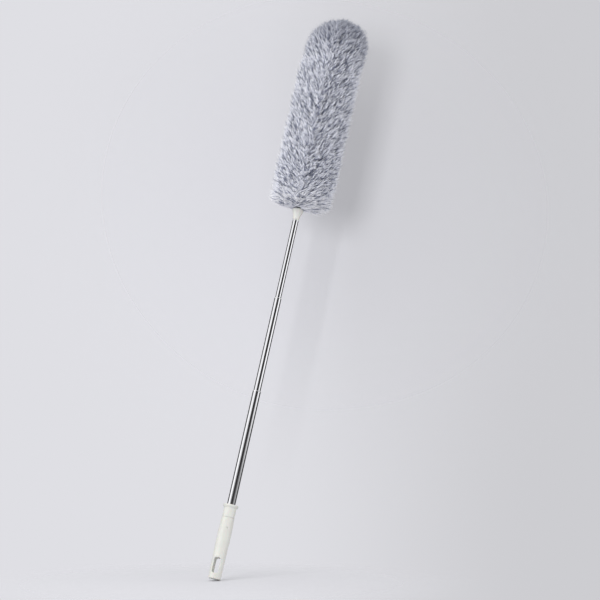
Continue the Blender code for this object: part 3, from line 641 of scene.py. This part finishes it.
def makeFur(name, settings, material):
    # Locks stand evenly over the outline, each a golden turn on from the last, with its root on the knit.
    locks, strands = settings["locks"], settings["strands"]
    total = locks * strands
    shares = evenShares(tipLine(), locks)
    turn = (np.arange(locks) * goldenTurn + strands) % math.tau
    tipRadius, tipHeight = pointsOn(tipLine(), shares)
    rootRadius, rootHeight = pointsOn(rootLine(), np.interp(shares, tipShares, rootShares))

    # A root is at its lock's turn on the knit, plus a random spread that parts the lock's strands.
    rootTurn = np.repeat(turn, strands)
    rootTurn += random.normal(0.0, settings["rootSpread"], total) / np.repeat(rootRadius + fluff["rootClear"], strands)
    roots = around(np.repeat(rootRadius, strands), rootTurn, np.repeat(rootHeight, strands))
    roots[:, 2] += random.normal(0.0, settings["rootSpread"], total)

    # A tip is on the outline, moved across and along it by ripples, set in or out by a random depth, and tousled
    # square to its lock, but only a little beyond the outline. Its strand is then drawn a little longer or
    # shorter, within the head's reach.
    hollowSize, hollowLimit, seeds = fluff["hollowSize"], fluff["hollowLimit"], fluff["seeds"]
    across = settings["swirl"] * ripple(turn, tipHeight, hollowSize, seeds["across"])
    along = settings["swirl"] * ripple(turn, tipHeight, hollowSize, seeds["along"])
    tipTurn = turn + across / np.maximum(tipRadius, fluff["tipClear"])
    centres = settled(around(tipRadius, tipTurn, tipHeight + along), turn)
    outward = unit(centres - around(rootRadius, turn, rootHeight))
    depth = random.uniform(*settings["depths"], locks)
    hollows = ripple(turn, tipHeight, hollowSize, seeds["hollow"]).clip(-hollowLimit, hollowLimit)
    depth += settings["hollows"] * hollows
    low = (lowStrands["shareNone"] - shares) / (lowStrands["shareNone"] - lowStrands["shareFull"])
    low = low.clip(0.0, 1.0)[:, None]
    calm = 1.0 - lowStrands["calm"] * low
    stray = outward * depth[:, None] + sideways(outward, settings["tousle"]) * calm
    radial = around(np.ones_like(turn), turn, np.zeros_like(turn))
    stray -= radial * np.maximum((stray * radial).sum(1) - settings["beyond"], 0.0)[:, None]
    tips = np.repeat(centres + stray, strands, 0) + random.normal(0.0, settings["tipSpread"], (total, 3))
    tips = roots + (tips - roots) * random.uniform(*settings["lengths"], total)[:, None]
    tips[:, :2] *= np.minimum(headSizes["reach"] / np.hypot(tips[:, 0], tips[:, 1]), 1.0)[:, None]

    # The centre line is a curve whose middle sags below the straight line, plus a sideways bow of 4t(1-t).
    reach = np.linalg.norm(tips - roots, axis=1, keepdims=True)
    straight = (tips - roots) / reach
    sag = unit(straight * straight[:, 2:] - (0.0, 0.0, 1.0))
    middle = (roots + tips) / 2 + sag * reach * settings["bulge"]
    low = np.repeat(low, strands, 0)
    under = roots * lowStrands["spread"]
    under[:, 2] = fluffFoot + (tips[:, 2] - fluffFoot) * lowStrands["rise"]
    middle += (under - middle) * low**2 * lowStrands["droop"]
    bow = np.repeat(sideways(outward, settings["bow"]) * calm - parted(turn, settings["parting"]), strands, 0)
    bow += random.normal(0.0, settings["bellySpread"], (total, 3))
    places = np.array(settings["places"])
    t = places[None, :, None]
    lines = (1 - t)**2 * roots[:, None] + 2 * t * (1 - t) * (middle + 2 * bow)[:, None] + t**2 * tips[:, None]

    # A lock is pale or dark by chance and in blotches, and its tone is lowered the nearer it is to the crown, a
    # painted shade on the top of the fluff. The low strands start further along the way from root to tip, so they are
    # paler, a painted light on the fluff's shaded foot.
    blotches = fluff["blotchShare"] * ripple(turn, tipHeight, fluff["blotchSize"], seeds["blotch"])
    pale = random.uniform(0.0, 1.0, locks) < settings["paleShare"] + blotches
    tones = np.where(pale, settings["tones"][1], settings["tones"][0])
    # The crown's painted shade: each lock's tone falls more the nearer its tip is to the top.
    crown = np.clip((tipHeight - fluffTop + fluff["crownFrom"]) / fluff["crownFrom"], 0.0, 1.0)
    tones = np.repeat(tones - fluff["crownPaintedShade"] * crown, strands)
    tones = (tones + random.normal(0.0, settings["toneSpread"], total)).clip(*fluff["toneLimits"])
    low = low[:, 0]
    # Painted light: the foot's strands, most of all at its fringe, start nearer their white tips, so they are paler
    # where the fluff is shaded.
    starts = lowStrands["start"] * low + lowStrands["fringe"] * low**lowStrands["fringePower"]
    starts = np.maximum(starts, settings["start"])
    radii = np.array(settings["radii"]) * random.uniform(*fluff["thickness"], (total, 1))

    made = []
    for number in range(settings["pieces"]):
        part = slice(total * number // settings["pieces"], total * (number + 1) // settings["pieces"])
        title = name + "_" + str(number + 1)
        mesh = strandMesh(title, lines[part], radii[part], tones[part], starts[part], places)
        made.append(finishedPiece(title, mesh, material))
    return made


mergeDistance = 0.0000001  # points of a turned piece that are closer than this are one point


def turnedPiece(name, profile, steps, wave, material):
    # A closed half section carried round the Z axis. wave gives each point's change of radius by its turn and height.
    turn = np.arange(steps)[:, None] * math.tau / steps
    radius, height = profile[:, 0][None], profile[:, 1][None]
    radius = radius + wave(turn, height) * (radius > 0.0)
    points = around(radius, turn + 0 * radius, height + 0 * radius).reshape(-1, 3)
    size = len(profile)
    step, spot = np.meshgrid(np.arange(steps), np.arange(size), indexing="ij")
    nextStep, nextSpot = (step + 1) % steps, (spot + 1) % size
    corners = [step * size + spot, nextStep * size + spot, nextStep * size + nextSpot, step * size + nextSpot]
    mesh = bpy.data.meshes.new(name)
    mesh.from_pydata(points, [], np.stack(corners, -1).reshape(-1, 4))
    cleaned = bmesh.new()
    cleaned.from_mesh(mesh)
    bmesh.ops.remove_doubles(cleaned, verts=cleaned.verts, dist=mergeDistance)
    cleaned.to_mesh(mesh)
    cleaned.free()
    mesh.shade_smooth()
    return finishedPiece(name, mesh, material)


knitSet = {
    "wall": 0.0012,
    "pleats": 22,
    "pleatDepth": 0.00045,
    "steps": 132,
    "neckRings": 5,
    "coneRings": 12,
    "sideRings": 40,
}


def makeKnit(settings, material):
    # The cover's knitted backing: out of its pleated neck, along the gathered cone, and up to a round crown. The
    # inner face is the same line a wall's thickness inside. Pleats fade out as the cone widens.
    shoulder = knitTop - knitRadius
    outer = np.concatenate([
        np.linspace([neckRadius, neckFoot], [neckRadius, neckTop], settings["neckRings"])[:-1],
        np.linspace([neckRadius, neckTop], [knitRadius, foamLow], settings["coneRings"])[:-1],
        np.linspace([knitRadius, foamLow], [knitRadius, shoulder], settings["sideRings"])[:-1],
        quarter(0.0, shoulder, knitRadius, 0.0),
    ])
    outer[-1, 0] = 0.0
    wall = settings["wall"]
    inner = outer[::-1].copy()
    inner[:, 0] = np.maximum(inner[:, 0] - wall, 0.0)
    inner[:, 1] -= wall * (inner[:, 1] > foamLow)

    def pleats(turn, height):
        fade = np.clip((foamLow - height) / (foamLow - neckTop), 0.0, 1.0)
        return settings["pleatDepth"] * fade * np.cos(settings["pleats"] * turn)

    profile = np.concatenate([outer, inner])[::-1]
    return turnedPiece("pile_knit", profile, settings["steps"], pleats, material)


hemSet = {
    "ribs": 56,
    "ribDepth": 0.00010,
    "steps": 336,
    "facets": 18,
}


def makeHem(settings, material):
    # The covered elastic round the neck: a ring of round section whose threads stand up as small ribs.
    radius = (hemHigh.z - hemLow.z) / 2
    angle = np.arange(settings["facets"]) * math.tau / settings["facets"]
    centre = np.array([hemHigh.x - radius, hemLow.z + radius])
    profile = centre + radius * np.stack([np.cos(angle), np.sin(angle)], 1)

    def ribs(turn, height):
        return settings["ribDepth"] * (np.cos(settings["ribs"] * turn) - 1.0)

    return turnedPiece("hem_elastic_ribbed", profile, settings["steps"], ribs, material)


foamSet = {
    "edge": 0.0015,
    "bore": 0.0046,
    "dent": 0.00025,
    "dentSize": 0.012,
    "dentLimit": 3.0,
    "dentSeed": 21,
    "steps": 96,
    "endRings": 6,
    "sideRings": 60,
}


def makeFoam(settings, material):
    # The sleeve of foam round the steel strip: a thick tube with softened ends and a slightly uneven skin.
    edge, endRings = settings["edge"], settings["endRings"]
    outside = np.concatenate([
        quarter(foamRadius - edge, foamLow + edge, edge, -math.pi / 2, endRings),
        np.linspace([foamRadius, foamLow + edge], [foamRadius, foamHigh - edge], settings["sideRings"])[1:-1],
        quarter(foamRadius - edge, foamHigh - edge, edge, 0.0, endRings),
    ])
    bore = np.array([[settings["bore"], foamHigh], [settings["bore"], foamLow]])

    def dents(turn, height):
        field = 1.0 + ripple(turn, height, settings["dentSize"], settings["dentSeed"])
        return -settings["dent"] * field.clip(0.0, settings["dentLimit"])

    return turnedPiece("foam_core", np.concatenate([outside, bore]), settings["steps"], dents, material)


fur = furMaterial("dyed_microfibre_pile", furColors)
furPieces = [piece for name, settings in furSets.items() for piece in makeFur(name, settings, fur)]
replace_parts(furPieces[0], "pile")
print("fur made in", len(furPieces), "pieces")

makeKnit(knitSet, knitMaterial("warp_knitted_backing"))
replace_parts(makeHem(hemSet, knitMaterial("covered_elastic")), "hem_elastic")
foam = makeFoam(foamSet, foamMaterial("open_cell_foam", foamSkin))
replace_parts(foam, "foam_sleeve")
print("knit, elastic and foam made")


# Studio

room = {
    "tones": ("#dfdfe4", "#cdcdd1"),
    "shadeFrom": -0.05,
    "shadeTo": 0.20,
    "light": "#ffffff",
    "ambient": 0.85,
}
paint = {"roughness": 0.9, "specular": 0.1, "shadeFrom": 0.05, "shadeTo": 0.30}
floorSet = {
    "tones": ("#d6d6db", "#d3d3d8"),
    "size": 3.0,
    "fadeFrom": 0.10,
    "fadeTo": 0.50,
    "tilt": -8.0,
    "gap": 0.0002,
}
boardSet = {
    "tones": ("#cfcfd4", "#c6c6ca"),
    "size": 1.5,
    "fadeFrom": 0.15,
    "fadeTo": 0.85,
    "behind": 0.520,
    "right": 0.070,
    "height": 1.050,
}

# The backdrop's lamp reaches the board alone. It stands a little to the left of the camera, so that the fluff's
# shadow falls just beside the fluff, though the board is out of reach of the head when it bends back.
softBoxes = {
    "key": {"turn": -35.0, "rise": 3.0, "distance": 2.4, "width": 1.4, "height": 1.8, "power": 30.0},
    "fill": {"turn": 85.0, "rise": -5.0, "distance": 2.4, "width": 0.8, "height": 1.8, "power": 20.0},
    "backdrop": {"turn": -9.2, "rise": -18.0, "distance": 2.4, "width": 0.3, "height": 0.4, "power": 34.0},
}

# What a polished tube mirrors: the panels' brightness low down and high up, at each share of a full turn from
# behind the duster by the left to the front at a half and on by the right.
panels = [
    (0.00, 0.80, 0.80), (0.05, 0.70, 0.60), (0.09, 0.12, 0.08), (0.19, 0.09, 0.10), (0.235, 0.14, 0.15),
    (0.262, 1.70, 1.30), (0.375, 1.60, 1.60), (0.405, 0.50, 1.40), (0.432, 0.12, 0.80), (0.455, 0.09, 0.10),
    (0.480, 0.05, 0.03), (0.545, 0.025, 0.025), (0.580, 0.12, 0.05), (0.605, 0.15, 0.30), (0.630, 0.20, 1.30),
    (0.675, 0.66, 1.80), (0.725, 0.62, 1.80), (0.745, 0.40, 0.80), (0.765, 0.10, 0.05), (0.850, 0.06, 0.02),
    (0.910, 0.12, 0.05), (0.950, 0.70, 0.50), (1.00, 0.80, 0.80),
]
tent = {
    "radius": 4.0,
    "low": -5.0,
    "high": 3.4,
    "sides": 96,
    "changeFrom": 0.9,
    "changeTo": 1.5,
    "brightest": 2.0,
}


def makeWorld(settings):
    # A pale room. The camera sees it shade softly from the photograph's left to its right, by the share of each
    # direction that points right. The duster is lit by plain white.
    world = bpy.data.worlds.new("studio")
    bpy.context.scene.world = world
    world.use_nodes = True
    tree = world.node_tree
    direction = addNode(tree, "ShaderNodeTexCoord").outputs["Generated"]
    right = addNode(tree, "ShaderNodeVectorMath", {0: direction, 1: photoRight}, operation="DOT_PRODUCT")
    spread = {"Value": right.outputs["Value"], "From Min": settings["shadeFrom"], "From Max": settings["shadeTo"]}
    share = addNode(tree, "ShaderNodeMapRange", spread, interpolation_type="SMOOTHSTEP").outputs["Result"]
    back = tree.nodes["Background"]
    tree.links.new(colorBetween(tree, share, *settings["tones"]), back.inputs["Color"])
    white = {"Color": linear(settings["light"]), "Strength": settings["ambient"]}
    light = addNode(tree, "ShaderNodeBackground", white)
    choice = addNode(tree, "ShaderNodeMixShader", {0: seenStraight(tree), 1: light.outputs[0], 2: back.outputs[0]})
    tree.links.new(choice.outputs[0], tree.nodes["World Output"].inputs["Surface"])


def makeLamp(name, settings):
    # A soft box that faces the middle of the pole, placed by its turn from the camera and its rise.
    lamp = bpy.data.lights.new(name, "AREA")
    lamp.shape = "RECTANGLE"
    lamp.size = settings["width"]
    lamp.size_y = settings["height"]
    lamp.energy = settings["power"]
    turn, rise = frontTurn + math.radians(settings["turn"]), math.radians(settings["rise"])
    out = Vector((math.cos(turn) * math.cos(rise), math.sin(turn) * math.cos(rise), math.sin(rise)))
    place = Matrix.Translation(Vector((0.0, 0.0, headTop / 2)) + out * settings["distance"])
    box = bpy.data.objects.new(name, lamp)
    box.matrix_world = place @ out.to_track_quat("Z", "Y").to_matrix().to_4x4()
    box.visible_camera = False
    box.visible_glossy = False
    bpy.context.scene.collection.objects.link(box)
    return box


def linkLamp(lamp, stage, state):
    # Light linking: the lamp reaches only this stage object, or everything but it.
    reach = bpy.data.collections.new(lamp.name + "_reach")
    reach.objects.link(stage)
    reach.collection_objects[0].light_linking.link_state = state
    lamp.light_linking.receiver_collection = reach


def stageObject(name, corners, faces, build):
    # A mesh of the studio with a material whose surface the given function makes from nodes.
    mesh = bpy.data.meshes.new(name)
    mesh.from_pydata(corners, [], faces)
    material = bpy.data.materials.new(name)
    material.use_nodes = True
    tree = material.node_tree
    tree.links.new(build(tree), tree.nodes["Material Output"].inputs["Surface"])
    mesh.materials.append(material)
    stage = bpy.data.objects.new(name, mesh)
    bpy.context.scene.collection.objects.link(stage)
    return stage


def makeTent(settings, bands):
    # A round wall of light and dark panels that only mirrors see. Its brightness follows the turn about the pole and
    # changes from the low panels to the high ones with height. A ramp holds each level as a share of the brightest.
    sides, low, high, brightest = (settings[key] for key in ("sides", "low", "high", "brightest"))
    angle = np.arange(sides) * math.tau / sides
    rings = [around(np.full(sides, settings["radius"]), angle, np.full(sides, z)) for z in (low, high)]
    faces = [(i, (i + 1) % sides, sides + (i + 1) % sides, sides + i) for i in range(sides)]

    def glow(tree):
        place = objectPlace(tree)
        turn = addNode(tree, "ShaderNodeTexGradient", {"Vector": place}, gradient_type="RADIAL").outputs["Fac"]
        height = addNode(tree, "ShaderNodeSeparateXYZ", {"Vector": place}).outputs["Z"]
        change = {"Value": height, "From Min": settings["changeFrom"], "From Max": settings["changeTo"]}
        ends = {0: addNode(tree, "ShaderNodeMapRange", change).outputs["Result"]}
        for end, levels in ((6, 1), (7, 2)):
            stops = [(band[0], [band[levels] / brightest] * 3 + [1.0]) for band in bands]
            ends[end] = addNode(tree, "ShaderNodeValToRGB", {"Fac": turn}, stops=stops).outputs["Color"]
        light = addNode(tree, "ShaderNodeMix", ends, data_type="RGBA").outputs[2]
        return addNode(tree, "ShaderNodeEmission", {"Color": light, "Strength": brightest}).outputs[0]

    wall = stageObject("studio_panels", np.concatenate(rings), faces, glow)
    wall.data.materials[0].cycles.emission_sampling = "NONE"
    wall.rotation_euler.z = frontTurn
    wall.visible_camera = wall.visible_diffuse = wall.visible_shadow = wall.visible_transmission = False


def makeSurface(name, settings, centre, across, upward):
    # A square of matt paint about a centre, a little darker to the photograph's right, a painted shade. From behind,
    # and beyond its fade, the camera sees the room through it.
    signs = ((-1, -1), (1, -1), (1, 1), (-1, 1))
    corners = [centre + (across * a + upward * b) * settings["size"] for a, b in signs]

    def painted(tree):
        shader = tree.nodes["Principled BSDF"]
        shader.inputs["Roughness"].default_value = paint["roughness"]
        shader.inputs["Specular IOR Level"].default_value = paint["specular"]
        place = objectPlace(tree)
        right = addNode(tree, "ShaderNodeVectorMath", {0: place, 1: photoRight}, operation="DOT_PRODUCT")
        spread = {"Value": right.outputs["Value"], "From Min": paint["shadeFrom"], "From Max": paint["shadeTo"]}
        share = addNode(tree, "ShaderNodeMapRange", spread).outputs["Result"]
        # Painted shade: the paint darkens towards the right.
        tree.links.new(colorBetween(tree, share, *settings["tones"]), shader.inputs["Base Color"])
        reach = {0: place, 1: centre}
        away = addNode(tree, "ShaderNodeVectorMath", reach, operation="DISTANCE").outputs["Value"]
        fade = {"Value": away, "From Min": settings["fadeFrom"], "From Max": settings["fadeTo"]}
        far = addNode(tree, "ShaderNodeMapRange", fade, interpolation_type="SMOOTHSTEP").outputs["Result"]
        behind = addNode(tree, "ShaderNodeNewGeometry").outputs["Backfacing"]
        hidden = addNode(tree, "ShaderNodeMath", {0: far, 1: behind}, operation="MAXIMUM").outputs[0]
        clear = addNode(tree, "ShaderNodeMath", {0: hidden, 1: seenStraight(tree)}, operation="MULTIPLY").outputs[0]
        through = addNode(tree, "ShaderNodeBsdfTransparent").outputs[0]
        return addNode(tree, "ShaderNodeMixShader", {0: clear, 1: shader.outputs[0], 2: through}).outputs[0]

    return stageObject(name, corners, [(0, 1, 2, 3)], painted)


def makeFloor(settings):
    # A flat floor a gap under the lowest point of the leaning butt. Its upright is the picture's, tilted from it.
    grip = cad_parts["handle_grip"].data.vertices
    points = np.empty(len(grip) * 3)
    grip.foreach_get("co", points)
    side = Vector(photoRight)
    upright = Matrix.Rotation(math.radians(settings["tilt"]), 3, side) @ photoUp
    lowest = float((points.reshape(-1, 3) @ np.array(upright)).min())
    makeSurface("floor", settings, upright * (lowest - settings["gap"]), side, upright.cross(side))


def makeBoard(settings):
    # A board behind the fluff, parallel to the pole, that takes its soft shadow. Only the camera sees the board.
    near, up = Vector((math.cos(frontTurn), math.sin(frontTurn), 0.0)), Vector((0.0, 0.0, 1.0))
    side = up.cross(near)
    centre = side * settings["right"] - near * settings["behind"] + up * settings["height"]
    board = makeSurface("board", settings, centre, side, up)
    board.visible_diffuse = board.visible_glossy = board.visible_shadow = board.visible_transmission = False
    return board


makeWorld(room)
lamps = {name: makeLamp(name, settings) for name, settings in softBoxes.items()}
makeTent(tent, panels)
makeFloor(floorSet)
board = makeBoard(boardSet)
for name, lamp in lamps.items():
    linkLamp(lamp, board, "INCLUDE" if name == "backdrop" else "EXCLUDE")
bpy.context.scene.view_settings.view_transform = "Standard"
print("studio lit")

bpy.context.view_layer.update()
